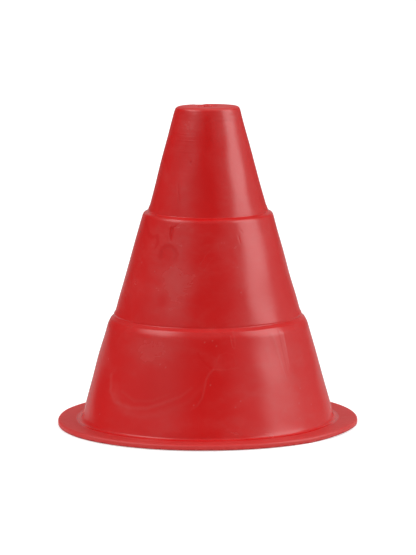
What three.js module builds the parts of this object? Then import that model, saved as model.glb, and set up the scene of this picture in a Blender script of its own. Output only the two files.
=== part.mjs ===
// Stackable training cone, moulded in one piece from soft red plastic.
// Millimetres, +Z up. The origin is the centre of the face that the cone stands on.
//
// The cone is one hollow shell: a flat brim, three tapering tiers that step in at a shoulder,
// and a closed top with the round well and the stub that the mould's gate leaves.
// Its section is drawn once, as corners with a rounding each, and turned about Z. The inside
// is the outside moved in by the wall, so that a second cone nests over the first.

import * as THREE from "three";

// Overall build
const wallThickness = 2;
const topThickness = 2.4;

// Brim
const brimDiameter = 141.3;
const brimThickness = 3;
const brimUpperEdgeRadius = 1.1;
const brimLowerEdgeRadius = 0.5;
const rootFilletRadius = 2.2;
const mouthEdgeRadius = 1.2;

// Tiers. A head diameter is taken where a tier's wall would reach the level of the next tier.
const tierHeight = 49;
const lowerFootDiameter = 118.8;
const lowerHeadDiameter = 92;
const middleFootDiameter = 87.7;
const middleHeadDiameter = 60.4;
const upperFootDiameter = 56;
const upperHeadDiameter = 29.7;
const topEdgeRadius = 2.1;
const insideTopRadius = 1.2;

// Shoulders, each by which a tier steps in to the next. The crease lies a little above the next
// tier's level. From it a ledge falls outwards to the shoulder's edge, and a flank runs on down
// to the tier's wall, which it meets at its drop below that level.
const creaseRise = 0.56;
const lowerCreaseRadius = 5.7;
const lowerLedgeWidth = 1.85;
const lowerLedgeDrop = 1.5;
const lowerEdgeRadius = 1.6;
const lowerFlankDrop = 4.25;
const lowerFlankRadius = 13;
const upperCreaseRadius = 3.2;
const upperLedgeWidth = 2.07;
const upperLedgeDrop = 0.98;
const upperEdgeRadius = 2;
const upperFlankDrop = 1.95;
const upperFlankRadius = 7;

// Gate well and the stub left in it where the plastic was injected
const wellDiameter = 10;
const wellDepth = 0.6;
const wellWallSlope = 45;
const wellEdgeRadius = 0.3;
const stubDiameter = 3.4;
const stubHeight = 1.2;
const stubEdgeRadius = 0.5;

// Facets: round the cone, and along a rounding by its turn and its radius
const facetsAround = 72;
const arcStepsPerRadian = 1.6;
const arcStepsPerMillimetre = 0.7;
const fewestArcSteps = 2;
const mostArcSteps = 7;

// How much of a side two neighbouring roundings may take between them, at most.
const roundedShare = 0.97;

const radians = THREE.MathUtils.degToRad;

// A corner of the section: its radius from the axis, its height and the radius that rounds it.
function corner(radius, height, rounding = 0) {
  return { at: new THREE.Vector2(radius, height), rounding };
}

// The direction a quarter turn to the left of another.
function leftOf(direction) {
  return new THREE.Vector2(-direction.y, direction.x);
}

// The angle by which the outline turns at a corner, positive to the left.
function turnAt(before, at, after) {
  const arriving = at.clone().sub(before);
  const leaving = after.clone().sub(at);
  return Math.atan2(arriving.cross(leaving), arriving.dot(leaving));
}

// Where a line from one point meets a line from another, each along its own direction.
function crossing(fromA, alongA, fromB, alongB) {
  const reach = fromB.clone().sub(fromA).cross(alongB) / alongA.cross(alongB);
  return fromA.clone().addScaledVector(alongA, reach);
}

// The brim's outer edge, from the face that the cone stands on to its upper side.
function brimCorners() {
  const brimRadius = brimDiameter / 2;
  return [
    corner(brimRadius, 0, brimLowerEdgeRadius),
    corner(brimRadius, brimThickness, brimUpperEdgeRadius),
  ];
}

// The tiers from the brim up, each as the two ends of its wall's line.
function tiersUpwards() {
  const diameters = [
    [lowerFootDiameter, lowerHeadDiameter],
    [middleFootDiameter, middleHeadDiameter],
    [upperFootDiameter, upperHeadDiameter],
  ];
  return diameters.map(([footDiameter, headDiameter], i) => {
    const floor = brimThickness + i * tierHeight;
    const foot = new THREE.Vector2(footDiameter / 2, floor);
    const head = new THREE.Vector2(headDiameter / 2, floor + tierHeight);
    return { foot, head };
  });
}

// The point of a tier's wall line at a height above the tier's foot.
function onWall(tier, heightAboveFoot) {
  return tier.foot.clone().lerp(tier.head, heightAboveFoot / tierHeight);
}

// A shoulder's corners from the wall below it, over its edge, to the crease above.
function shoulderCorners(tier, above, { flank, edge, crease }) {
  const creaseAt = onWall(above, creaseRise);
  const edgeAt = creaseAt.clone().add(new THREE.Vector2(edge.ledgeWidth, -edge.ledgeDrop));
  return [
    { at: onWall(tier, tierHeight - flank.drop), rounding: flank.radius },
    { at: edgeAt, rounding: edge.radius },
    { at: creaseAt, rounding: crease.radius },
  ];
}

function lowerShoulder(tier, above) {
  return shoulderCorners(tier, above, {
    flank: { drop: lowerFlankDrop, radius: lowerFlankRadius },
    edge: { ledgeWidth: lowerLedgeWidth, ledgeDrop: lowerLedgeDrop, radius: lowerEdgeRadius },
    crease: { radius: lowerCreaseRadius },
  });
}

function upperShoulder(tier, above) {
  return shoulderCorners(tier, above, {
    flank: { drop: upperFlankDrop, radius: upperFlankRadius },
    edge: { ledgeWidth: upperLedgeWidth, ledgeDrop: upperLedgeDrop, radius: upperEdgeRadius },
    crease: { radius: upperCreaseRadius },
  });
}

// The tiers' outer section, from the wall's root on the brim up to the edge of the closed top.
function wallCorners() {
  const [lower, middle, upper] = tiersUpwards();
  return [
    { at: lower.foot, rounding: rootFilletRadius },
    ...lowerShoulder(lower, middle),
    ...upperShoulder(middle, upper),
    { at: upper.head, rounding: topEdgeRadius },
  ];
}

// The gate's well and stub, from the well's rim in to the axis.
function gateCorners(topHeight) {
  const wellRadius = wellDiameter / 2;
  const wellFloorRadius = wellRadius - wellDepth / Math.tan(radians(wellWallSlope));
  const floor = topHeight - wellDepth;
  const stubRadius = stubDiameter / 2;
  return [
    corner(wellRadius, topHeight, wellEdgeRadius),
    corner(wellFloorRadius, floor),
    corner(stubRadius, floor),
    corner(stubRadius, floor + stubHeight, stubEdgeRadius),
    corner(0, floor + stubHeight),
  ];
}

// The inner section from the axis down to the mouth. Each side lies a wall's thickness inside
// the outer one and stays parallel to it, and each rounding keeps the centre of the outer one.
function innerCorners(walls, topHeight) {
  const sides = walls.slice(1).map((end, i) => {
    const along = end.at.clone().sub(walls[i].at).normalize();
    return { from: walls[i].at.clone().addScaledVector(leftOf(along), wallThickness), along };
  });
  const turns = sides.slice(1).map((side, i) => {
    const at = crossing(sides[i].from, sides[i].along, side.from, side.along);
    const turn = turnAt(walls[i].at, walls[i + 1].at, walls[i + 2].at);
    return { at, rounding: Math.max(walls[i + 1].rounding - Math.sign(turn) * wallThickness, 0) };
  });
  const level = new THREE.Vector2(1, 0);
  const ceiling = new THREE.Vector2(0, topHeight - topThickness);
  const [lowest, highest] = [sides[0], sides.at(-1)];
  const mouth = crossing(lowest.from, lowest.along, new THREE.Vector2(0, 0), level);
  const crown = crossing(highest.from, highest.along, ceiling, level);
  return [
    corner(0, ceiling.y),
    corner(crown.x, crown.y, insideTopRadius),
    ...turns.reverse(),
    corner(mouth.x, 0, mouthEdgeRadius),
  ];
}

// How far from each corner its rounding starts and ends. The ends of the outline have none.
function tangentLengths(corners) {
  return corners.map(({ at, rounding }, i) => {
    if (i === 0 || i === corners.length - 1) return 0;
    return rounding * Math.tan(Math.abs(turnAt(corners[i - 1].at, at, corners[i + 1].at)) / 2);
  });
}

// The corners with their roundings made smaller where two of them don't fit on the side between.
function withRoom(corners) {
  const reaches = tangentLengths(corners);
  const shares = corners.slice(1).map(({ at }, i) => {
    const room = at.distanceTo(corners[i].at) * roundedShare;
    return Math.min(room / (reaches[i] + reaches[i + 1]), 1);
  });
  return corners.map(({ at, rounding }, i) => {
    const share = Math.min(shares[i - 1] ?? 1, shares[i] ?? 1);
    return { at, rounding: rounding * share };
  });
}

// Points along a corner's rounding, more of them where it turns further round a larger arc.
function roundedPoints(before, { at, rounding }, after) {
  if (rounding <= 0) return [at];
  const turn = turnAt(before, at, after);
  const reach = rounding * Math.tan(Math.abs(turn) / 2);
  const start = at.clone().add(before.clone().sub(at).setLength(reach));
  const end = at.clone().add(after.clone().sub(at).setLength(reach));
  const towardsCentre = leftOf(at.clone().sub(before).normalize()).multiplyScalar(Math.sign(turn));
  const centre = start.clone().addScaledVector(towardsCentre, rounding);
  const wanted = Math.abs(turn) * (arcStepsPerRadian + rounding * arcStepsPerMillimetre);
  const steps = THREE.MathUtils.clamp(Math.round(wanted), fewestArcSteps, mostArcSteps);
  const points = [];
  for (let i = 0; i < steps; i += 1) {
    points.push(start.clone().rotateAround(centre, (turn * i) / steps));
  }
  return [...points, end];
}

// The whole section as points: out from the axis along the inside, and back over the outside.
function sectionPoints() {
  const walls = withRoom(wallCorners());
  const topHeight = walls.at(-1).at.y;
  const inside = innerCorners(walls, topHeight);
  const corners = withRoom([...inside, ...brimCorners(), ...walls, ...gateCorners(topHeight)]);
  return corners.flatMap((each, i) => {
    const onAxis = i === 0 || i === corners.length - 1;
    return onAxis ? [each.at] : roundedPoints(corners[i - 1].at, each, corners[i + 1].at);
  });
}

function coneShell() {
  const geometry = new THREE.LatheGeometry(sectionPoints(), facetsAround);
  geometry.rotateX(Math.PI / 2);
  const material = new THREE.MeshStandardMaterial({
    color: 0xc01f1c,
    roughness: 0.38,
    metalness: 0,
  });
  const mesh = new THREE.Mesh(geometry, material);
  mesh.name = "cone_shell";
  return mesh;
}

const trainingCone = new THREE.Group();
trainingCone.add(coneShell());

export default trainingCone;
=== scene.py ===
"""The looks of a stackable training cone, moulded in one piece from soft red plastic.

Metres, +Z up. The cone's axis is Z and the face that it stands on is at Z = 0. An angle round
the cone is in degrees from the front, -Y, and positive towards the right, +X.
"""

import cmath
import math

import bmesh
import bpy
import numpy as np
from mathutils import Matrix, Vector


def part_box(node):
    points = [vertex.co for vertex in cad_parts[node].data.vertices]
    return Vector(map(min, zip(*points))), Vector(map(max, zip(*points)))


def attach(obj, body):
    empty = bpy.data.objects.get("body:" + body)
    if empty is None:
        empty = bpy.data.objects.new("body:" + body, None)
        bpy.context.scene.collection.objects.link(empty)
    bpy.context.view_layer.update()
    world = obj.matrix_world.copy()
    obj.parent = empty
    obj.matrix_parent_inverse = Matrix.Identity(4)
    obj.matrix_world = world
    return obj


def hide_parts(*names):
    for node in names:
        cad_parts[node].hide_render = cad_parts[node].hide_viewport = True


MM = 0.001

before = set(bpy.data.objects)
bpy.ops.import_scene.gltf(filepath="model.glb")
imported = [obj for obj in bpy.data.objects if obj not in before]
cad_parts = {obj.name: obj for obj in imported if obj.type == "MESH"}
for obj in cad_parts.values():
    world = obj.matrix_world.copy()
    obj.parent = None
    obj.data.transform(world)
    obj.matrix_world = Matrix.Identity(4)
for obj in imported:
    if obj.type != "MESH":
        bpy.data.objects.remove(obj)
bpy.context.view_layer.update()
_, shell_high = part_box("cone_shell")

# The cone's section, mostly in the sizes of its solid. The brim is thinner, the shoulders and
# creases are sharper and the gate's well is shallower than there. The tiers start at FIRST_TIER,
# and a wall's two radii are those of its straight line at the tier's two ends.
WALL = 2 * MM
TOP_THICKNESS = 2.4 * MM
BRIM_RADIUS = shell_high.x
BRIM_THICKNESS = 2.6 * MM
BRIM_UPPER_EDGE = 1.1 * MM
BRIM_LOWER_EDGE = 0.4 * MM
ROOT_FILLET = 1.6 * MM
MOUTH_EDGE = 1.2 * MM
FIRST_TIER = 3 * MM
TIER_HEIGHT = 49 * MM
TIER_FOOT_RADII = (59.4 * MM, 43.85 * MM, 28 * MM)
TIER_HEAD_RADII = (46 * MM, 30.2 * MM, 14.85 * MM)
TIERS = len(TIER_FOOT_RADII)
TOP_HEIGHT = FIRST_TIER + TIERS * TIER_HEIGHT
TOP_EDGE = 2.1 * MM
INSIDE_TOP_EDGE = 1.2 * MM
LOWER_SHOULDER = {
    "flank drop": 3.8 * MM, "flank radius": 10 * MM, "ledge width": 1.85 * MM,
    "ledge drop": 1.35 * MM, "edge radius": 1.2 * MM, "undercut": 0.15 * MM,
    "undercut rise": 0.75 * MM,
}
UPPER_SHOULDER = {
    "flank drop": 1.95 * MM, "flank radius": 5 * MM, "ledge width": 2.1 * MM,
    "ledge drop": 0.7 * MM, "edge radius": 1.5 * MM, "undercut": 0.05 * MM,
    "undercut rise": 0.5 * MM,
}
CREASE_RADIUS = 0.6 * MM
WELL_RADIUS = 5 * MM
WELL_DEPTH = 0.35 * MM
WELL_EDGE = 0.3 * MM
STUB_RADIUS = 1.8 * MM
STUB_TOP = shell_high.z
STUB_EDGE = 0.5 * MM

# The inside has a plain step below each shoulder: how far it lies below the next tier's foot, how
# far it falls outwards from there, and the radius of its two roundings
INSIDE_STEP_DROP = 1.6 * WALL
INSIDE_STEP_FALL = 0.5 * WALL
INSIDE_STEP_EDGE = 0.8 * MM

# How the soft cone stands: the slope by which its body leans, the height at which its nod is
# full, and by how many millimetres its axis bends aside at each height in millimetres
BODY_LEAN = 0.007
NOD_HEIGHT = 101 * MM
SIDE_BENDS = ((52, 0), (76, 0.07), (101, 0), (125, -0.15), (150, -0.05))

# By how many millimetres the edge of the wavy brim has lifted off the floor at each angle, the
# share of it that the wall's root has, and the height at which it has faded out
BRIM_LIFTS = (
    (-180, 0.35), (-150, 0.36), (-135, 0.38), (-120, 0.6), (-105, 0.76), (-90, 0.54), (-75, 0.27),
    (-60, 0.22), (-40, 0.3), (0, 0.36), (30, 0.2), (42, 0.04), (60, 0.5), (70, 0.58), (90, 0.04),
    (120, 0.12), (150, 0.27), (180, 0.35),
)
ROOT_LIFT_SHARE = 0.75
LIFT_FADE = 15 * MM

# How the top sits on the upper tier: the rise of its middle, of its front edge and of its right
# edge over that, and how far down the wall the change fades out
TOP_RISE = 0.16 * MM
TOP_FRONT_RISE = 0.38 * MM
TOP_RIGHT_RISE = 0.12 * MM
TOP_FADE = 5 * MM

# A knock in the far edge of the top: its angle, the radius to its middle, its half width, its
# depth and how far down it reaches
NOTCH_ANGLE = -163
NOTCH_RADIUS = 13.6 * MM
NOTCH_HALF_WIDTH = 1.9 * MM
NOTCH_DEPTH = 0.5 * MM
NOTCH_REACH = 2 * TOP_EDGE

# How fine the mesh is along the section: the longest step on each stretch, and on a rounding the
# usual step, the usual turn and the fewest steps
OUTER_WALL_STEP = 1.4 * MM
TOP_STEP = 0.7 * MM
BRIM_EDGE_STEP = 0.5 * MM
GATE_STEP = 0.25 * MM
INNER_WALL_STEP = 4 * MM
ARC_STEP = 0.45 * MM
ARC_TURN = math.radians(16)
FEWEST_ARC_STEPS = 3

# How fine the mesh is round the cone: the columns, the radius below which a ring has half of them,
# as all of the inside has, that below which it has a quarter, and that below which it is a point
COLUMNS = 320
SMALL_RING = 1.01 * TIER_FOOT_RADII[2]
GATE_RING = 1.15 * WELL_RADIUS
POINT_RING = 1e-9

# The wrapped mesh is joined along its cut at the back: the angle from it within which a vertex
# belongs to the cut, and the distance within which two such vertices become one
CUT_ANGLE = 1e-5
CUT_DISTANCE = 0.001 * MM

# How far in millimetres round a mark the mesh is halved, and halved again, and how far over the
# brim that starts
MARK_MARGINS = (1.2, 0.4)
MARKS_OVER_BRIM = 1

# How far the lower tier's wall bows out between its ends
LOWER_BOW = 0.08 * MM

# The waves of the soft wall: how many there are, the height that none passes, their turns round the
# cone, from the first number to below the second, their most turns up it, the turns round and up
# at which a wave is half as high, and the height over the brim in which they grow
WAVES = 24
WAVE_SEED = 1794
WAVE_HEIGHT = 0.06 * MM
WAVE_TURNS = (2, 13)
WAVE_RISES = 8
HALF_HIGH_TURNS = 6
HALF_HIGH_RISES = 5
WAVE_GROWTH = 4 * MM

# The height below the top in which waves, bow and marks fade out
RELIEF_FADE = 3 * MM

# The web of plastic in the two creases, thickest at the cone's two sides: its thickness there, its
# heights over the foot of the next tier, half its width, and the power that keeps it to the sides
CREASE_FILL = 0.45 * MM
CREASE_FILL_RISES = (0.7 * MM, 1.0 * MM)
CREASE_FILL_HALF = 0.9 * MM
CREASE_FILL_POWER = 8

# Where the haze lies thicker or thinner, and where painted highlight and painted shade lie: the
# angle and height of its middle, half its width and height in millimetres, and how much paler or
# darker the plastic is there. On the front most are painted highlight and painted shade, paler
# where the gloss is brighter and darker where it is dimmer. At the sides and back they are haze.
BLOTCHES = (
    (-25, 75, 9, 12, 0.35), (-20, 60, 6, 5, 0.2), (-32, 62, 8, 7, 0.25), (-21, 68, 9, 8, 0.2),
    (-18, 95, 5, 6, 0.25), (-31, 64, 3, 3.6, -0.7), (-32, 84.6, 3.6, 2.8, -0.5),
    (-25, 143.8, 8, 4.5, 0.5), (-4, 118, 6, 22, -0.35), (-50, 91, 5, 5, 0.2),
    (-4, 62, 5, 9, -0.1), (-34, 41, 9, 6, 0.3), (-24, 37.5, 10, 6, 0.3), (-24, 26, 16, 8, -0.75),
    (-68, 12, 9, 11, -0.8), (-42, 13, 7, 6, -0.2), (42, 14, 8, 8, 0.25), (30, 96, 6, 5, -0.25),
    (40, 72, 7, 7, -0.25), (20, 125, 5, 20, 0.2), (9, 29, 9, 4.5, -0.25), (-42, 28, 6, 5, 0.2),
    (12, 44, 10, 4, -0.15), (36, 40, 4, 7, 0.25), (52, 92, 6, 8, 0.1), (24, 74, 4, 9, 0.2),
    (58, 74, 6, 20, -0.3), (-14, 112, 5, 6, 0.2), (-26, 124, 5, 7, -0.2),
    (95, 34, 12, 8, 0.3), (124, 20, 9, 6, -0.3), (150, 78, 8, 10, 0.3), (178, 36, 14, 8, 0.3),
    (-150, 26, 9, 7, -0.3), (-118, 88, 7, 9, 0.3), (-128, 42, 12, 6, 0.3), (-95, 70, 6, 8, -0.3),
    (140, 120, 6, 9, 0.25), (-150, 118, 6, 8, 0.25), (100, 94, 7, 4, -0.25),
    (-172, 66, 8, 6, -0.3),
)

# Marks that use has left in the wall. Each is a line through points, as the angle round the cone
# and the height in millimetres, with its width at both ends and how far it stands proud, in
# millimetres, and how much paler or darker its plastic is, from 1 to -1.
MARKS = (
    # The nick below the upper shoulder, with the scratch that leads into it. The dark colour of the
    # nick is painted shade in its cut.
    (((-28.6, 97.2), (-31.8, 95.7)), 0.6, 0.9, -0.15, -0.4),
    (((-32.2, 95.8), (-31.4, 90.6)), 1.9, 0.5, -0.32, -0.6),
    (((-34.0, 97.0), (-33.6, 92.5)), 0.9, 0.5, 0.12, 0.25),
    (((-24.0, 99.0), (-28.6, 97.2)), 0.3, 0.5, -0.10, -0.3),
    # The ring that a cleat pressed in
    (((-38.0, 83.3), (-38.2, 86.0), (-35.0, 87.6), (-30.8, 87.9), (-26.8, 86.7), (-24.5, 84.7),
      (-25.2, 82.5)), 2.2, 1.9, -0.07, -0.5),
    # Darker swirls in the flow of the plastic beside it
    (((-70, 99.0), (-64, 96.0), (-57.5, 92.4), (-52.0, 91.2), (-46.0, 92.0)), 1.9, 1.6, 0.0, -0.36),
    (((-46.0, 92.0), (-43.5, 89.5), (-45.5, 86.5)), 1.6, 1.2, 0.0, -0.34),
    # Scratches on the top tier
    (((-34.2, 115.3), (-31.5, 111.0), (-28.8, 107.8)), 0.5, 0.3, -0.07, -0.5),
    (((-21.2, 126.1), (-20.7, 124.9)), 1.0, 0.3, -0.12, -0.6),
    # Faint scratches across the middle of the middle tier
    (((-6.0, 80.5), (-2.0, 84.5), (3.5, 88.0)), 0.35, 0.25, -0.03, 0.35),
    (((-3.0, 78.0), (1.5, 82.0), (6.0, 84.5)), 0.3, 0.2, -0.03, 0.25),
    (((8.0, 90.0), (9.5, 84.0)), 0.3, 0.2, -0.03, 0.25),
    # Knocks at the right of the middle tier
    (((28.4, 95.6), (31.0, 93.8)), 0.6, 0.4, -0.05, -0.35),
    (((25.8, 92.9), (26.9, 89.4)), 0.6, 0.4, -0.05, -0.3),
    # A run of plastic with its hook, and the smear beside it
    (((12.8, 48.9), (13.0, 45.9), (13.5, 44.0), (14.3, 43.3), (15.0, 43.8)), 0.35, 0.45, 0.08, 0.6),
    (((14.6, 50.4), (14.9, 47.0), (15.1, 44.6)), 1.6, 0.8, 0.03, 0.25),
    # Drag marks down the right of the lower tier
    (((38.6, 48.2), (40.2, 44.5), (41.6, 38.5), (43.6, 28.0)), 2.2, 0.9, 0.06, 0.55),
    (((44.6, 49.2), (44.9, 40.5), (45.4, 29.0)), 1.2, 0.6, -0.05, -0.4),
    (((47.6, 47.8), (47.8, 40.5), (47.6, 33.0)), 1.4, 0.7, 0.08, 0.4),
    (((34.6, 42.2), (35.2, 35.6)), 2.6, 1.6, 0.03, 0.25),
    # Lines where the flowing plastic met
    (((-5.4, 41.5), (-3.0, 38.6), (-0.2, 36.1), (2.8, 34.2)), 0.9, 0.6, -0.02, -0.15),
    (((2.8, 34.2), (0.6, 32.2), (-0.8, 29.8), (-1.6, 26.0), (-2.6, 21.6), (-5.0, 18.2),
      (-8.0, 16.4)), 1.1, 0.8, 0.05, 0.45),
    (((2.8, 34.2), (9.0, 34.0), (15.8, 34.6)), 0.6, 0.4, 0.04, 0.3),
    (((4.5, 37.4), (6.2, 40.6), (10.0, 41.7), (13.8, 40.4), (15.0, 37.1), (13.4, 33.8)),
     0.5, 0.4, 0.03, 0.2),
    # Smears low on the left
    (((-58.5, 28.0), (-55.5, 20.6), (-50.8, 16.8), (-39.2, 15.2), (-30.2, 15.9), (-22.0, 18.7),
      (-13.8, 21.8), (-8.0, 26.0)), 2.2, 1.3, 0.025, 0.55),
    (((-52.0, 20.0), (-44.0, 13.4), (-33.0, 11.6), (-20.0, 14.6), (-9.0, 20.0), (-2.0, 27.5)),
     3.0, 2.2, 0.02, 0.26),
    (((-47.0, 22.0), (-38.0, 18.6), (-28.0, 19.4), (-19.0, 23.0)), 1.6, 1.2, 0.02, 0.24),
    # Scratches, runs and flow lines at the sides and back
    (((96, 92), (101, 84), (103, 79)), 0.6, 0.3, -0.10, -0.5),
    (((112, 49.5), (113, 42), (115, 31)), 2.0, 0.8, 0.05, 0.45),
    (((119, 49), (119.5, 40), (121, 33)), 0.8, 0.4, -0.08, -0.5),
    (((138, 88), (142, 93), (149, 94), (152, 89), (148, 85)), 1.2, 0.6, -0.06, -0.4),
    (((158, 40), (163, 34), (166, 27), (172, 20)), 0.7, 0.5, 0.05, 0.4),
    (((163, 34), (172, 35)), 0.5, 0.3, 0.04, 0.25),
    (((-176, 49), (-175.5, 45), (-174.6, 43.6)), 0.35, 0.45, 0.08, 0.6),
    (((-166, 96.5), (-164, 92)), 1.2, 0.3, -0.35, -0.6),
    (((-158, 118), (-153, 111)), 0.5, 0.3, -0.07, -0.5),
    (((-142, 24), (-132, 17), (-118, 15), (-104, 18), (-96, 25)), 1.2, 0.8, 0.03, 0.35),
    (((-126, 73), (-121, 70), (-113, 71.5)), 0.6, 0.4, 0.04, 0.3),
    (((-108, 126), (-106, 122.5)), 0.9, 0.3, -0.15, -0.6),
    (((128, 128), (131, 121)), 0.5, 0.3, -0.07, -0.5),
    (((84, 72), (88, 66), (90, 60)), 0.5, 0.4, 0.04, 0.3),
)

# How much of a mark has faded at its end, and the power that keeps the fading near the end
MARK_END_FADE = 0.6
MARK_FADE_POWER = 4

# Pale specks, by angle and height in millimetres. They are marks too, each with the same short line
# to the right and up, the same width and rise, and the same shade.
SPECKS = (
    (-58, 79.2), (-41.8, 76.3), (-28.2, 78.8), (22.5, 67.7), (-70.2, 62.9), (-60.5, 9.5),
    (-1.8, 46.3), (2.5, 47), (-22.5, 34.7), (-25.8, 35.8), (-38.2, 40.3), (1.2, 27.3), (13, 17.2),
    (58.2, 13.8), (49, 15.7), (15.8, 19.8), (52.2, 22.1), (-6.8, 18.4), (4.6, 44.6), (92, 28),
    (104, 12), (117, 63), (133, 37), (146, 15), (160, 83), (171, 56), (-168, 22), (-155, 47),
    (-139, 66), (-123, 11), (-110, 38), (-97, 85), (-88, 19), (139, 111), (-130, 118),
)
SPECK_LINE = (0.3, 0.2)
SPECK_SIZE = 0.52
SPECK_RISE = 0.05
SPECK_SHADE = 1.9

# The plastic: its own red, its red under full haze, which is also the red of painted highlight, and
# in the darkest marks, as levels on a screen, and the shares that haze with its painted highlight
# and shade, marks and wear have in its colour and its roughness
PLASTIC_RED = (207, 14, 12)
HAZE_AND_PAINTED_HIGHLIGHT_RED = (205, 92, 88)
# In the nick, this dark red is painted shade.
DARK_RED = (160, 4, 4)
HAZE_AND_PAINTED_LIGHT_SHARE = 0.27
MARK_SHADE = 0.3
WEAR_SHADE = 0.14
DARK_MARK_SHADE = 0.35
PLASTIC_IOR = 1.5
PLASTIC_ROUGHNESS = 0.24
HAZE_ROUGHNESS = 0.06
WEAR_ROUGHNESS = 0.3

# The haze, in patterns that are wider than tall: clouds with wisps in them, flecks and streaks, the
# shares of each and of the blotches with their painted highlight and shade, and the levels from
# which and to which it thickens
HAZE_PROPORTIONS = (1, 1, 1.7)
CLOUDS = {"Scale": 48, "Detail": 3, "Distortion": 0.5}
WISPS = {"Scale": 24, "Detail": 3, "Distortion": 1.2}
FLECKS = {"Scale": 380, "Detail": 4, "Roughness": 0.65}
STREAKS = {"Scale": 95, "Detail": 4, "Distortion": 1.6}
NOISE_MEAN = 0.5
WISP_HALF_WIDTH = 0.07
WISP_SHARE = 0.2
FLECK_SHARE = 0.28
STREAK_SHARE = 0.45
BLOTCH_SHARE = 0.75
HAZE_LIMITS = (0.12, 1.1)
HAZE_POWER = 1.7

# Wear: the radii between which the brim's starts, the heights between which the top's does, and
# how much of it is even and how much is in scuffs
WORN_BRIM = (61.3 * MM, 62.6 * MM)
WORN_TOP = (149.5 * MM, 149.9 * MM)
SCUFFS = {"Scale": 320, "Detail": 4}
EVEN_WEAR = 0.55
SCUFF_WEAR = 0.5

# The skin: orange peel, grain and the rings that the mould was turned with, which grow up the top
# tier, with the depth of each as a multiple of the skin's depth
SKIN_DEPTH = 0.03 * MM
PEEL = {"Scale": 170, "Detail": 2}
PEEL_DEPTH = 1.4
GRAIN = {"Scale": 900, "Detail": 2}
GRAIN_DEPTH = 0.12
RING_PROPORTIONS = (12, 12, 1000)
RINGS = {"Scale": 1.0, "Detail": 3}
RING_DEPTH = 4.0
RING_GROWTH = (105 * MM, 140 * MM)

# The studio that the gloss shows, in levels of which 1 is white. Low round the cone it is as
# bright as STUDIO says for each angle, less what a dark flag takes off below its edge. Higher up
# it is dark, and overhead bright again, a little less so behind. The bands are where one passes
# into the other, by the upward part of a direction, or by the backward part for the last.
STUDIO = (
    (-180, 0.5), (-168, 0.42), (-157, 0.22), (-135, 0.05), (-100, 0.11), (-75, 0.28), (-60, 0.48),
    (-42, 0.6), (-25, 0.3), (-8, 0.0), (13, 0.0), (38, 0.62), (55, 0.4), (110, 0.7), (125, 0.4),
    (145, 0.15), (158, 0.3), (168, 0.42), (180, 0.5),
)
FLAG = ((-85, 0.0), (-65, 0.7), (-20, 0.85), (0, 0.0))
STUDIO_DARK = 0.12
OVERHEAD = 0.41
HIGH_BEHIND = 0.36
FLAG_EDGE = (0.335, 0.365)
LOW_BAND = (0.3, 0.55)
HIGH_BAND = (0.5, 0.8)
BACKWARD_BAND = (0.1, 0.5)

# Lamps: the point that softboxes face, how far in from their edges they fade, as a share of their
# size, the power per square metre at which one shows as white, and a fill light's spread
LAMP_AIM = Vector((0, 0, 0.075))
SOFTBOX_FADE = 0.3
SOFTBOX_POWER = 4
FILL_SPREAD = math.radians(110)

# The floor: half its side, how far it lies below the cone, its level by the distance from the
# cone's axis, which is a painted pool of light, bright near the cone and dark far off, and the
# level to which its glow lifts it for the camera
FLOOR_HALF_SIDE = 8
FLOOR_DROP = 0.05 * MM
FLOOR_PAINTED_POOL_LEVELS = ((0.075, 0.7), (0.11, 0.33), (1.5, 0.3), (3.0, 0.06))
FLOOR_WHITE = 1.25

# The camera: its place, the angles by which it looks down and leans, and its lens in millimetres
CAMERA_PLACE = (0.0006, -1.731, 0.3315)
CAMERA_PITCH = 0.15037
CAMERA_ROLL = 0.007
CAMERA_LENS = 241.7


def srgb(red, green, blue):
    """A colour as the scene's linear light, from the three levels that a screen shows it with."""
    levels = [level / 255 for level in (red, green, blue)]
    return [((v + 0.055) / 1.055) ** 2.4 if v > 0.04045 else v / 12.92 for v in levels] + [1]


# The section's outline


def turn_at(before, at, after):
    """The angle by which an outline turns at a point, positive to the left."""
    return cmath.phase((after - at) / (at - before))


def crossing(from_a, along_a, from_b, along_b):
    """Where a line from one point meets a line from another, each along its own direction."""
    across = (along_a.conjugate() * along_b).imag
    return from_a + along_a * ((from_b - from_a).conjugate() * along_b).imag / across


def on_wall(tier, height_above_foot):
    """The point of a tier's wall line at a height above the tier's foot."""
    foot = complex(TIER_FOOT_RADII[tier], FIRST_TIER + tier * TIER_HEIGHT)
    head = complex(TIER_HEAD_RADII[tier], foot.imag + TIER_HEIGHT)
    return foot + (head - foot) * height_above_foot / TIER_HEIGHT


def shoulder_corners(tier, shoulder):
    """A shoulder's corners with their roundings, from its wall over its edge to its crease.

    The crease bites a little into the foot of the next wall.
    """
    foot = on_wall(tier + 1, 0)
    edge = foot + complex(shoulder["ledge width"], -shoulder["ledge drop"])
    flank = on_wall(tier, TIER_HEIGHT - shoulder["flank drop"])
    return [
        (flank, shoulder["flank radius"]),
        (edge, shoulder["edge radius"]),
        (foot - shoulder["undercut"], CREASE_RADIUS),
        (on_wall(tier + 1, shoulder["undercut rise"]), CREASE_RADIUS),
    ]


def brim_corners():
    """The brim's two outer corners with their roundings, from below."""
    return [
        (complex(BRIM_RADIUS, 0), BRIM_LOWER_EDGE),
        (complex(BRIM_RADIUS, BRIM_THICKNESS), BRIM_UPPER_EDGE),
    ]


def wall_corners():
    """The tiers' outer corners with their roundings, from the brim up to the top's edge."""
    shoulders = shoulder_corners(0, LOWER_SHOULDER) + shoulder_corners(1, UPPER_SHOULDER)
    root = on_wall(0, BRIM_THICKNESS - FIRST_TIER)
    return [(root, ROOT_FILLET), *shoulders, (on_wall(2, TIER_HEIGHT), TOP_EDGE)]


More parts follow.
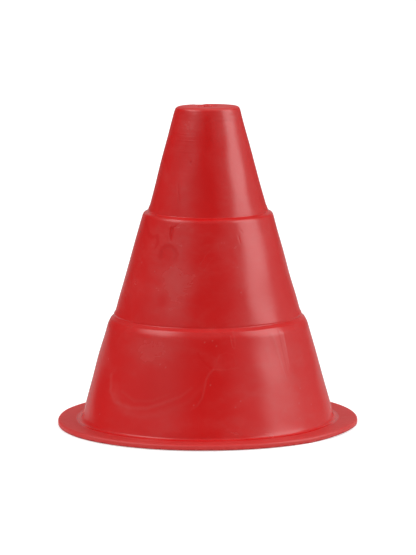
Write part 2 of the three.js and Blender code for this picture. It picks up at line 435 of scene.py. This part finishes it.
def gate_corners():
    """The corners of the gate's well and stub with their roundings, from the rim to the axis."""
    well_floor = TOP_HEIGHT - WELL_DEPTH
    return [
        (complex(WELL_RADIUS, TOP_HEIGHT), WELL_EDGE),
        (complex(WELL_RADIUS - WELL_DEPTH, well_floor), WELL_EDGE),
        (complex(STUB_RADIUS, well_floor), WELL_EDGE),
        (complex(STUB_RADIUS, STUB_TOP), STUB_EDGE),
        (complex(0, STUB_TOP), 0),
    ]


def inner_corners():
    """The inner corners from the ceiling down to the mouth, a wall's thickness inside the tiers."""
    inside = []
    for tier in range(TIERS):
        along = on_wall(tier, TIER_HEIGHT) - on_wall(tier, 0)
        inwards = 1j * along / abs(along) * WALL
        inside.append((on_wall(tier, 0) + inwards, along))
    ceiling = complex(0, TOP_HEIGHT - TOP_THICKNESS)
    corners = [(ceiling, 0), (crossing(*inside[2], ceiling, 1), INSIDE_TOP_EDGE)]
    for tier in (1, 0):
        upper = complex(0, on_wall(tier + 1, 0).imag - INSIDE_STEP_DROP)
        lower = upper - 1j * INSIDE_STEP_FALL
        corners.append((crossing(*inside[tier + 1], upper, 1), INSIDE_STEP_EDGE))
        corners.append((crossing(*inside[tier], lower, 1), INSIDE_STEP_EDGE))
    return [*corners, (crossing(*inside[0], 0, 1), MOUTH_EDGE)]


def rounded(before, corner, after):
    """The points along a corner's rounding."""
    at, radius = corner
    if radius <= 0:
        return [at]
    turn = turn_at(before, at, after)
    along = (at - before) / abs(at - before)
    start = at - along * radius * math.tan(abs(turn) / 2)
    centre = start + 1j * along * math.copysign(radius, turn)
    by_turn = round(abs(turn) / ARC_TURN)
    by_length = round(abs(turn) * radius / ARC_STEP)
    steps = max(FEWEST_ARC_STEPS, by_turn, by_length)
    return [centre + (start - centre) * cmath.rect(1, turn * i / steps) for i in range(steps + 1)]


def stretched(start, end, step):
    """The points between two ends, no further apart than a step, without the ends."""
    count = max(1, math.ceil(abs(end - start) / step))
    return [start + (end - start) * i / count for i in range(1, count)]


def section(corners, steps):
    """A line of points through rounded corners, with a step for each stretch between them."""
    middle = [rounded(a[0], b, c[0]) for a, b, c in zip(corners, corners[1:], corners[2:])]
    arcs = [[corners[0][0]], *middle, [corners[-1][0]]]
    points = list(arcs[0])
    for before, arc, step in zip(arcs, arcs[1:], steps):
        points += stretched(before[-1], arc[0], step) + arc
    return points


# The shell's mesh, laid flat first and then wrapped round the axis


def ring_columns(radius, outside):
    """How many columns a ring has: fewer where it is small or inside."""
    if radius < GATE_RING:
        return COLUMNS // 4
    if radius < SMALL_RING or not outside:
        return COLUMNS // 2
    return COLUMNS


def shell_rings():
    """The section as rings from the axis inside, round the brim and up to the axis outside.

    Each is a point of the section and whether it belongs to the outside.
    """
    inner = inner_corners()
    inside = section(inner, [INNER_WALL_STEP] * len(inner))
    brim, walls, gate = brim_corners(), wall_corners(), gate_corners()
    wall_steps = [OUTER_WALL_STEP] * len(walls)
    gate_steps = [GATE_STEP] * (len(gate) - 1)
    outside = section(brim + walls + gate, [BRIM_EDGE_STEP, *wall_steps, TOP_STEP, *gate_steps])
    # The brim's lower edge is rounded as part of the outside, from the mouth's last point.
    first = rounded(inside[-1], brim[0], brim[1][0])
    return [(p, False) for p in inside] + [(p, True) for p in first + outside[1:]]


def outside_starts(rings):
    """The number of the first ring of the outside."""
    return sum(not outside for _, outside in rings)


def row_of(flat, angles, row):
    """A row of vertices of the flat mesh: across it the angle, up it the number of the row."""
    return [flat.verts.new((angle, row, 0)) for angle in angles]


def bridge(flat, lower, upper):
    """Faces between two rows, one of which may have half the other's columns or be a point."""
    if len(lower) == len(upper):
        for i in range(len(lower) - 1):
            flat.faces.new((lower[i], lower[i + 1], upper[i + 1], upper[i]))
        return
    fine, coarse = (lower, upper) if len(lower) > len(upper) else (upper, lower)
    made = []
    if len(coarse) == 1:
        made = [(fine[i], fine[i + 1], coarse[0]) for i in range(len(fine) - 1)]
    else:
        for i in range(len(coarse) - 1):
            a, b, c = fine[2 * i:2 * i + 3]
            left, right = coarse[i:i + 2]
            made += [(a, b, left), (b, right, left), (b, c, right)]
    for corners in made:
        flat.faces.new(corners if fine is lower else corners[::-1])


def laid_flat(rings):
    """The surface cut open at the back and laid flat."""
    flat = bmesh.new()
    for name in ("mark_shade", "haze_and_painted_light"):
        flat.verts.layers.float.new(name)
    previous = None
    for number, (point, outside) in enumerate(rings):
        if point.real < POINT_RING:
            row = row_of(flat, [0], number)
        else:
            columns = ring_columns(point.real, outside)
            row = row_of(flat, np.linspace(-math.pi, math.pi, columns + 1), number)
        if previous:
            bridge(flat, previous, row)
        previous = row
    return flat


def on_surface(angles, heights):
    """Angles in degrees and heights in millimetres as millimetres across and up the tiers."""
    tier_of = np.clip((heights - FIRST_TIER / MM) // (TIER_HEIGHT / MM), 0, TIERS - 1).astype(int)
    feet = np.array(TIER_FOOT_RADII)[tier_of] / MM
    heads = np.array(TIER_HEAD_RADII)[tier_of] / MM
    up = (heights - FIRST_TIER / MM - tier_of * TIER_HEIGHT / MM) / (TIER_HEIGHT / MM)
    return np.radians(angles) * (feet + (heads - feet) * up), heights


def off_line(angles, heights, path):
    """How far points on the wall are from a line, in millimetres, and how far along it they are."""
    spans = [math.dist(a, b) for a, b in zip(path, path[1:])]
    nearest = np.full(angles.shape, np.inf)
    share = np.zeros(angles.shape)
    passed = 0
    for (start, end), span in zip(zip(path, path[1:]), spans):
        middle = (start[0] + end[0]) / 2
        x, y = on_surface(angles - middle, heights)
        ends = np.array([start, end])
        (x0, x1), (y0, y1) = on_surface(ends[:, 0] - middle, ends[:, 1])
        length = (x1 - x0) ** 2 + (y1 - y0) ** 2
        along = np.clip(((x - x0) * (x1 - x0) + (y - y0) * (y1 - y0)) / length, 0, 1)
        away = np.hypot(x - x0 - along * (x1 - x0), y - y0 - along * (y1 - y0))
        closer = away < nearest
        share = np.where(closer, (passed + along * span) / sum(spans), share)
        nearest = np.minimum(nearest, away)
        passed += span
    return nearest, share


def all_marks():
    """The marks, with each speck as a very short one."""
    aside, up = SPECK_LINE
    specks = [
        (((angle, height), (angle + aside, height + up)), SPECK_SIZE, SPECK_SIZE, SPECK_RISE,
         SPECK_SHADE)
        for angle, height in SPECKS
    ]
    return [*MARKS, *specks]


def near_marks(angles, heights, margin):
    """Which points of the wall lie on a mark, or beside it by no more than a margin."""
    near = np.zeros(angles.shape, bool)
    for path, width, end_width, _, _ in all_marks():
        away, _ = off_line(angles, heights, path)
        near |= away < max(width, end_width) + margin
    return near


def halve_near_marks(flat, rings):
    """Halve the faces that lie on or beside a mark."""
    heights = np.array([point.imag for point, _ in rings]) / MM
    for margin in MARK_MARGINS:
        faces = list(flat.faces)
        centres = np.array([face.calc_center_median()[:2] for face in faces])
        rows = centres[:, 1]
        level = np.interp(rows, range(len(rings)), heights)
        near = near_marks(np.degrees(centres[:, 0]), level, margin)
        near &= (rows > outside_starts(rings)) & (level > BRIM_THICKNESS / MM + MARKS_OVER_BRIM)
        edges = {edge for face, chosen in zip(faces, near) if chosen for edge in face.edges}
        bmesh.ops.subdivide_edges(flat, edges=list(edges), cuts=1, use_grid_fill=True)


def bow(heights):
    """How far the lower tier's wall stands off the straight line between its ends."""
    up = np.clip((heights - FIRST_TIER) / TIER_HEIGHT, 0, 1)
    return LOWER_BOW * np.sin(math.pi * up)


def waves(angles, heights):
    """The slight unevenness of soft plastic that has cooled and been stacked."""
    random = np.random.default_rng(WAVE_SEED)
    proud = np.zeros(angles.shape)
    for _ in range(WAVES):
        turns = random.integers(*WAVE_TURNS)
        rises = random.uniform(-WAVE_RISES, WAVE_RISES)
        start = random.uniform(0, 2 * math.pi)
        high = WAVE_HEIGHT / (1 + math.hypot(turns / HALF_HIGH_TURNS, rises / HALF_HIGH_RISES))
        along = turns * angles + 2 * math.pi * rises * heights / TOP_HEIGHT
        proud += high * np.sin(along + start)
    return proud


def crease_fill(angles, heights):
    """The web of plastic in the lower and upper crease, which is thicker at the two sides."""
    proud = np.zeros(angles.shape)
    for tier, rise in enumerate(CREASE_FILL_RISES, start=1):
        above = heights - FIRST_TIER - tier * TIER_HEIGHT - rise
        proud += CREASE_FILL * np.exp(-(above / CREASE_FILL_HALF) ** 2)
    return proud * np.sin(angles) ** CREASE_FILL_POWER


def marks(angles, heights):
    """How far the marks stand proud, and how much paler or darker they are."""
    proud = np.zeros(angles.shape)
    shade = np.zeros(angles.shape)
    for path, width, end_width, rise, paler in all_marks():
        away, share = off_line(np.degrees(angles), heights / MM, path)
        half = (width + (end_width - width) * share) / 2
        strength = np.exp(-(away / half) ** 2) * (1 - MARK_END_FADE * share ** MARK_FADE_POWER)
        proud += rise * MM * strength
        shade += paler * strength
    return proud, shade


def blotches(angles, heights):
    """How much more or less haze than elsewhere lies on the plastic, and where it is paler as
    painted highlight or darker as painted shade.
    """
    haze_and_painted_light = np.zeros(angles.shape)
    for angle, height, half_width, half_height, paler in BLOTCHES:
        aside = (np.degrees(angles) - angle + 180) % 360 - 180
        x, _ = on_surface(aside, heights / MM)
        away = np.hypot(x / half_width, (heights / MM - height) / half_height)
        haze_and_painted_light += paler * np.exp(-away ** 2)
    return haze_and_painted_light


def wall_relief(angles, heights, mark_relief):
    """How far the wall of the used cone stands proud of its plain section."""
    grown = np.clip((heights - BRIM_THICKNESS) / WAVE_GROWTH, 0, 1)
    faded = np.clip((TOP_HEIGHT - heights) / RELIEF_FADE, 0, 1)
    proud = (bow(heights) + waves(angles, heights) * grown + mark_relief) * faded
    return proud + crease_fill(angles, heights)


def brim_lift(x, y, z):
    """How far the wavy brim and the foot of the wall have lifted off the floor."""
    out = np.clip((np.hypot(x, y) - TIER_FOOT_RADII[0]) / (BRIM_RADIUS - TIER_FOOT_RADII[0]), 0, 1)
    angles, lifts = zip(*BRIM_LIFTS)
    lift = np.interp(np.degrees(np.arctan2(x, -y)), angles, lifts) * MM
    share = ROOT_LIFT_SHARE + (1 - ROOT_LIFT_SHARE) * out
    return lift * (share * np.clip(1 - z / LIFT_FADE, 0, 1))


def top_dent(x, y, z):
    """How deep the knock in the far edge of the top is."""
    notch = cmath.rect(NOTCH_RADIUS, math.radians(NOTCH_ANGLE - 90))
    away = np.hypot(x - notch.real, y - notch.imag) / NOTCH_HALF_WIDTH
    return NOTCH_DEPTH * np.exp(-away ** 2) * (z > TOP_HEIGHT - NOTCH_REACH)


def settled(x, y, z):
    """The cone as it stands, with its lean, nod and bend, its lifted brim and its tilted top."""
    levels, bends = zip(*SIDE_BENDS)
    aside = z * BODY_LEAN + np.interp(z / MM, levels, bends) * MM
    nod = BODY_LEAN * np.minimum(z / NOD_HEIGHT, 1)
    tilt = (TOP_RIGHT_RISE * x - TOP_FRONT_RISE * y) / TIER_HEAD_RADII[2]
    rise = (TOP_RISE + tilt) * np.clip((z - TOP_HEIGHT) / TOP_FADE + 1, 0, 1)
    height = z - x * nod + brim_lift(x, y, z) - top_dent(x, y, z) + rise
    return np.column_stack((x + aside, y, height))


def outwards(points):
    """The direction away from the plastic at each point of the section."""
    along = np.gradient(points)
    return -1j * along / np.abs(along)


def keep_levels(flat, name, levels):
    """Keep a level for each vertex in a layer of the mesh."""
    layer = flat.verts.layers.float[name]
    for vertex, level in zip(flat.verts, levels):
        vertex[layer] = level


def close_cut(flat, angles):
    """Join the two edges of the cut at the back."""
    along_cut = np.abs(angles) > math.pi - CUT_ANGLE
    vertices = [vertex for vertex, cut in zip(flat.verts, along_cut) if cut]
    bmesh.ops.remove_doubles(flat, verts=vertices, dist=CUT_DISTANCE)


def wrap_round(flat, rings):
    """Wrap the flat mesh round the axis, with its relief, and keep the shades of its plastic, among
    them painted highlight and painted shade.
    """
    angles, rows = np.array([vertex.co[:2] for vertex in flat.verts]).T
    section_points = np.array([point for point, _ in rings])
    numbers = np.arange(len(rings))
    plain = np.interp(rows, numbers, section_points)
    facing = np.interp(rows, numbers, outwards(section_points))
    on_wall_side = (rows >= outside_starts(rings)) & (plain.imag > BRIM_THICKNESS + ROOT_FILLET / 2)
    mark_relief, mark_shade = marks(angles, plain.imag)
    proud = np.where(on_wall_side, wall_relief(angles, plain.imag, mark_relief), 0)
    points = plain + proud * facing
    placed = settled(points.real * np.sin(angles), -points.real * np.cos(angles), points.imag)
    for vertex, place in zip(flat.verts, placed):
        vertex.co = place
    keep_levels(flat, "mark_shade", np.where(on_wall_side, mark_shade, 0))
    # This layer holds the blotches, with their painted highlight and painted shade.
    keep_levels(flat, "haze_and_painted_light", np.where(on_wall_side, blotches(angles, points.imag), 0))
    close_cut(flat, angles)


def make_shell():
    """The shell as one closed mesh, with its marks as relief and as shades of the plastic."""
    rings = shell_rings()
    flat = laid_flat(rings)
    halve_near_marks(flat, rings)
    wrap_round(flat, rings)
    for face in flat.faces:
        face.smooth = True
    mesh = bpy.data.meshes.new("cone_body")
    flat.to_mesh(mesh)
    flat.free()
    body = bpy.data.objects.new("cone_body", mesh)
    bpy.context.scene.collection.objects.link(body)
    return body


# Node trees


class Graph:
    """A node tree that is built by calls, each of which returns an output socket."""

    def __init__(self, tree):
        self.nodes = tree.nodes
        self.links = tree.links

    def node(self, kind, inputs=(), out=0, **settings):
        """One output of a new node, whose inputs are linked to sockets or set to values."""
        made = self.nodes.new("ShaderNode" + kind)
        for name, value in settings.items():
            setattr(made, name, value)
        for key, value in dict(inputs).items():
            if isinstance(value, bpy.types.NodeSocket):
                self.links.new(value, made.inputs[key])
            else:
                made.inputs[key].default_value = value
        return made.outputs[out]

    def math(self, operation, *values):
        return self.node("Math", enumerate(values), operation=operation)

    def scaled(self, value, factor, plus=0.0):
        """A value times a factor, plus another."""
        return self.math("MULTIPLY_ADD", value, factor, plus)

    def noise(self, place, settings):
        return self.node("TexNoise", {"Vector": place, **settings})

    def level_of(self, layer):
        """The level that the mesh holds in a layer. It is the node's third output."""
        return self.node("Attribute", out=2, attribute_name=layer)

    def split(self, vector):
        """The three parts of a vector."""
        return self.node("SeparateXYZ", {0: vector}).node.outputs[:]

    def rise(self, value, start, end):
        """A level that goes smoothly from 0 up to 1 while a value goes from a start to an end."""
        return self.node("MapRange", {"Value": value, "From Min": start, "From Max": end},
                         interpolation_type="SMOOTHSTEP")

    def fall(self, value, start, end):
        """A level that goes smoothly from 1 down to 0 while a value goes from a start to an end."""
        limits = {"From Min": start, "From Max": end, "To Min": 1.0, "To Max": 0.0}
        return self.node("MapRange", {"Value": value, **limits}, interpolation_type="SMOOTHSTEP")

    def ramp(self, value, stops):
        """A level that runs through (position, level) stops."""
        made = self.nodes.new("ShaderNodeValToRGB")
        ramp = made.color_ramp
        ramp.interpolation = "LINEAR"
        while len(ramp.elements) < len(stops):
            ramp.elements.new(0.5)
        for element, (position, level) in zip(ramp.elements, stops):
            element.position = position
            element.color = (level, level, level, 1)
        self.links.new(value, made.inputs[0])
        return made.outputs[0]

    def mix(self, factor, first, second):
        """A blend of two numbers, which are the node's inputs 2 and 3."""
        return self.node("Mix", {"Factor": factor, 2: first, 3: second}, data_type="FLOAT")

    def blend(self, factor, first, second):
        """A blend of two colours, which are the node's inputs 6 and 7 and its output 2."""
        return self.node("Mix", {"Factor": factor, 6: first, 7: second}, out=2, data_type="RGBA")


# Materials


def haze_and_painted_light_on(g, place, mark):
    """How thick the haze lies on the plastic, with the blotches' painted highlight and painted
    shade in it. The darker a mark, the more haze it has wiped off.
    """
    wide = g.node("Mapping", {"Vector": place, "Scale": HAZE_PROPORTIONS})
    patches = g.math("ADD", g.level_of("haze_and_painted_light"), g.math("MINIMUM", mark, 0.0))
    smoke_and_painted_light = g.scaled(patches, BLOTCH_SHARE, g.noise(wide, CLOUDS))
    for settings, share in ((FLECKS, FLECK_SHARE), (STREAKS, STREAK_SHARE)):
        fine = g.math("SUBTRACT", g.noise(wide, settings), NOISE_MEAN)
        smoke_and_painted_light = g.scaled(fine, share, smoke_and_painted_light)
    haze_and_painted_light = g.math("POWER", g.rise(smoke_and_painted_light, *HAZE_LIMITS), HAZE_POWER)
    ridge = g.math("ABSOLUTE", g.math("SUBTRACT", g.noise(wide, WISPS), NOISE_MEAN))
    wisps = g.fall(ridge, 0.0, WISP_HALF_WIDTH)
    return g.math("MULTIPLY", haze_and_painted_light, g.scaled(wisps, WISP_SHARE, 1 - WISP_SHARE))


def wear_on(g, place):
    """How worn the plastic is: all over the brim and the top, and more so in scuffs."""
    x, y, z = g.split(place)
    radius = g.math("SQRT", g.scaled(x, x, g.math("MULTIPLY", y, y)))
    worn = g.math("MAXIMUM", g.rise(radius, *WORN_BRIM), g.rise(z, *WORN_TOP))
    return g.math("MULTIPLY", worn, g.scaled(g.noise(place, SCUFFS), SCUFF_WEAR, EVEN_WEAR))


def skin_of(g, place):
    """The fine relief of the plastic, as a normal."""
    _, _, z = g.split(place)
    start, end = RING_GROWTH
    growth = g.node("MapRange", {"Value": z, "From Min": start, "From Max": end})
    rings = g.noise(g.node("Mapping", {"Vector": place, "Scale": RING_PROPORTIONS}), RINGS)
    height = g.scaled(g.math("MULTIPLY", rings, growth), RING_DEPTH)
    height = g.scaled(g.noise(place, PEEL), PEEL_DEPTH, height)
    height = g.scaled(g.noise(place, GRAIN), GRAIN_DEPTH, height)
    return g.node("Bump", {"Height": height, "Distance": SKIN_DEPTH, "Strength": 1.0})


def red_plastic():
    """Soft moulded plastic, satin, with the haze, flow lines and wear of use, and painted highlight
    and painted shade in blotches on the front.
    """
    material = bpy.data.materials.new("red_plastic")
    material.use_nodes = True
    shader = material.node_tree.nodes["Principled BSDF"]
    shader.inputs["IOR"].default_value = PLASTIC_IOR
    g = Graph(material.node_tree)
    place = g.nodes.new("ShaderNodeTexCoord").outputs["Object"]
    mark = g.level_of("mark_shade")
    haze_and_painted_light = haze_and_painted_light_on(g, place, mark)
    worn = wear_on(g, place)
    # The paler red takes in the blotches' painted highlight, and their painted shade where they
    # thin the haze.
    paler = g.scaled(haze_and_painted_light, HAZE_AND_PAINTED_LIGHT_SHARE, g.scaled(mark, MARK_SHADE, g.scaled(worn, WEAR_SHADE)))
    base = g.blend(g.math("MAXIMUM", paler, 0.0), srgb(*PLASTIC_RED), srgb(*HAZE_AND_PAINTED_HIGHLIGHT_RED))
    darker = g.math("MAXIMUM", g.scaled(mark, -DARK_MARK_SHADE), 0.0)
    roughness = g.scaled(haze_and_painted_light, HAZE_ROUGHNESS, g.scaled(worn, WEAR_ROUGHNESS, PLASTIC_ROUGHNESS))
    g.links.new(g.blend(darker, base, srgb(*DARK_RED)), shader.inputs["Base Color"])
    g.links.new(roughness, shader.inputs["Roughness"])
    g.links.new(skin_of(g, place), shader.inputs["Normal"])
    return material


# Floor, lamps and camera


def floor_material():
    """A pale floor that shows white to the camera and keeps the cone's shadow, with a painted pool
    of light in its colour, brighter near the cone.
    """
    material = bpy.data.materials.new("pale_floor")
    material.use_nodes = True
    material.cycles.emission_sampling = "NONE"
    material.node_tree.nodes.clear()
    g = Graph(material.node_tree)
    away = g.node("VectorMath", {0: g.node("NewGeometry")}, out=1, operation="LENGTH")
    reach = FLOOR_PAINTED_POOL_LEVELS[-1][0]
    stops = [(distance / reach, level) for distance, level in FLOOR_PAINTED_POOL_LEVELS]
    # The floor's colour is a painted pool of light, bright near the cone and darker far off.
    shade = g.ramp(g.math("DIVIDE", away, reach), stops)
    matt = g.node("BsdfDiffuse", {"Color": shade})
    to_camera = g.node("LightPath", out="Is Camera Ray")
    lift = g.math("MULTIPLY", to_camera, g.math("SUBTRACT", FLOOR_WHITE, shade))
    both = g.node("AddShader", {0: matt, 1: g.node("Emission", {"Strength": lift})})
    output = g.nodes.new("ShaderNodeOutputMaterial")
    g.links.new(both, output.inputs["Surface"])
    return material


def make_floor():
    mesh = bpy.data.meshes.new("floor")
    side = FLOOR_HALF_SIDE
    corners = [(-side, -side), (side, -side), (side, side), (-side, side)]
    mesh.from_pydata([(x, y, -FLOOR_DROP) for x, y in corners], [], [(0, 1, 2, 3)])
    mesh.materials.append(floor_material())
    floor = bpy.data.objects.new("floor", mesh)
    bpy.context.scene.collection.objects.link(floor)


def softbox(name, angle, rise, distance, width, tall, radiance):
    """The lamp that the gloss shows at an angle round the cone and a rise above it.

    It is brightest in its middle and fades towards its edges, as a softbox does. Its even part
    comes from a fill light.
    """
    light = bpy.data.lights.new(name, "AREA")
    light.shape = "RECTANGLE"
    light.size = width
    light.size_y = tall
    light.energy = radiance * SOFTBOX_POWER * width * tall
    light.use_nodes = True
    light.node_tree.nodes.clear()
    g = Graph(light.node_tree)
    across, up, _ = g.split(g.node("NewGeometry", out="Parametric"))
    fade = 1.0
    for place in (across, up):
        off_middle = g.math("ABSOLUTE", g.math("SUBTRACT", place, 0.5))
        fade = g.math("MULTIPLY", g.fall(off_middle, 0.5 - SOFTBOX_FADE, 0.5), fade)
    glow = g.node("Emission", {"Strength": fade})
    output = g.nodes.new("ShaderNodeOutputLight")
    g.links.new(glow, output.inputs["Surface"])
    lamp = bpy.data.objects.new(name, light)
    a = math.radians(angle)
    e = math.radians(rise)
    towards = Vector((math.cos(e) * math.sin(a), -math.cos(e) * math.cos(a), math.sin(e)))
    lamp.location = LAMP_AIM + towards * distance
    lamp.rotation_euler = towards.to_track_quat("Z", "Y").to_euler()
    lamp.visible_diffuse = False
    bpy.context.scene.collection.objects.link(lamp)


def fill_light(name, angle, rise, strength):
    """A very soft light from an angle round the cone, which its gloss doesn't show."""
    light = bpy.data.lights.new(name, "SUN")
    light.angle = FILL_SPREAD
    light.energy = strength
    lamp = bpy.data.objects.new(name, light)
    lamp.rotation_euler = (math.radians(90 - rise), 0, math.radians(angle))
    lamp.visible_glossy = False
    bpy.context.scene.collection.objects.link(lamp)


def level_round(g, turn, levels):
    """The level at a share of a whole turn from behind, out of levels by angle round the cone."""
    return g.ramp(turn, [(angle / 360 + 0.5, level) for angle, level in levels])


def make_world():
    """White to the camera, a soft even light on the cone, and a studio round it in its gloss."""
    world = bpy.data.worlds.new("studio")
    bpy.context.scene.world = world
    world.use_nodes = True
    world.node_tree.nodes.clear()
    world.cycles.sampling_method = "NONE"
    g = Graph(world.node_tree)
    x, y, z = g.split(g.node("TexCoord"))
    angle = g.math("ARCTAN2", x, g.math("MULTIPLY", y, -1.0))
    turn = g.math("ADD", g.math("DIVIDE", angle, 2 * math.pi), 0.5)
    flag = g.math("MULTIPLY", level_round(g, turn, FLAG), g.fall(z, *FLAG_EDGE))
    around = g.math("MULTIPLY", level_round(g, turn, STUDIO), g.math("SUBTRACT", 1.0, flag))
    above = g.mix(g.fall(y, *BACKWARD_BAND), HIGH_BEHIND, OVERHEAD)
    low = g.mix(g.fall(z, *LOW_BAND), STUDIO_DARK, around)
    gloss = g.mix(g.rise(z, *HIGH_BAND), low, above)
    level = g.mix(g.node("LightPath", out="Is Camera Ray"), gloss, 1.0)
    background = g.node("Background", {"Strength": level})
    output = g.nodes.new("ShaderNodeOutputWorld")
    g.links.new(background, output.inputs["Surface"])


def make_camera():
    data = bpy.data.cameras.new("camera")
    data.lens = CAMERA_LENS
    camera = bpy.data.objects.new("camera", data)
    camera.location = CAMERA_PLACE
    pitch = Matrix.Rotation(math.pi / 2 - CAMERA_PITCH, 3, "X")
    roll = Matrix.Rotation(-CAMERA_ROLL, 3, "Z")
    camera.rotation_euler = (pitch @ roll).to_euler()
    bpy.context.scene.collection.objects.link(camera)
    bpy.context.scene.camera = camera


make_camera()
cone = make_shell()
cone.data.materials.append(red_plastic())
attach(cone, "root")
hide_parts("cone_shell")
make_floor()
make_world()
softbox("right_softbox", angle=77, rise=30, distance=0.9, width=0.84, tall=0.92, radiance=2.9)
softbox("left_softbox", angle=-71, rise=47, distance=1.0, width=0.95, tall=0.72, radiance=2.55)
fill_light("fill_left", angle=-86, rise=14, strength=2.5)
fill_light("fill_front", angle=0, rise=8, strength=1.04)
fill_light("fill_right", angle=110, rise=20, strength=2.9)
fill_light("fill_behind", angle=160, rise=35, strength=0.4)
fill_light("fill_above", angle=0, rise=85, strength=0.36)
bpy.context.scene.view_settings.view_transform = "Standard"
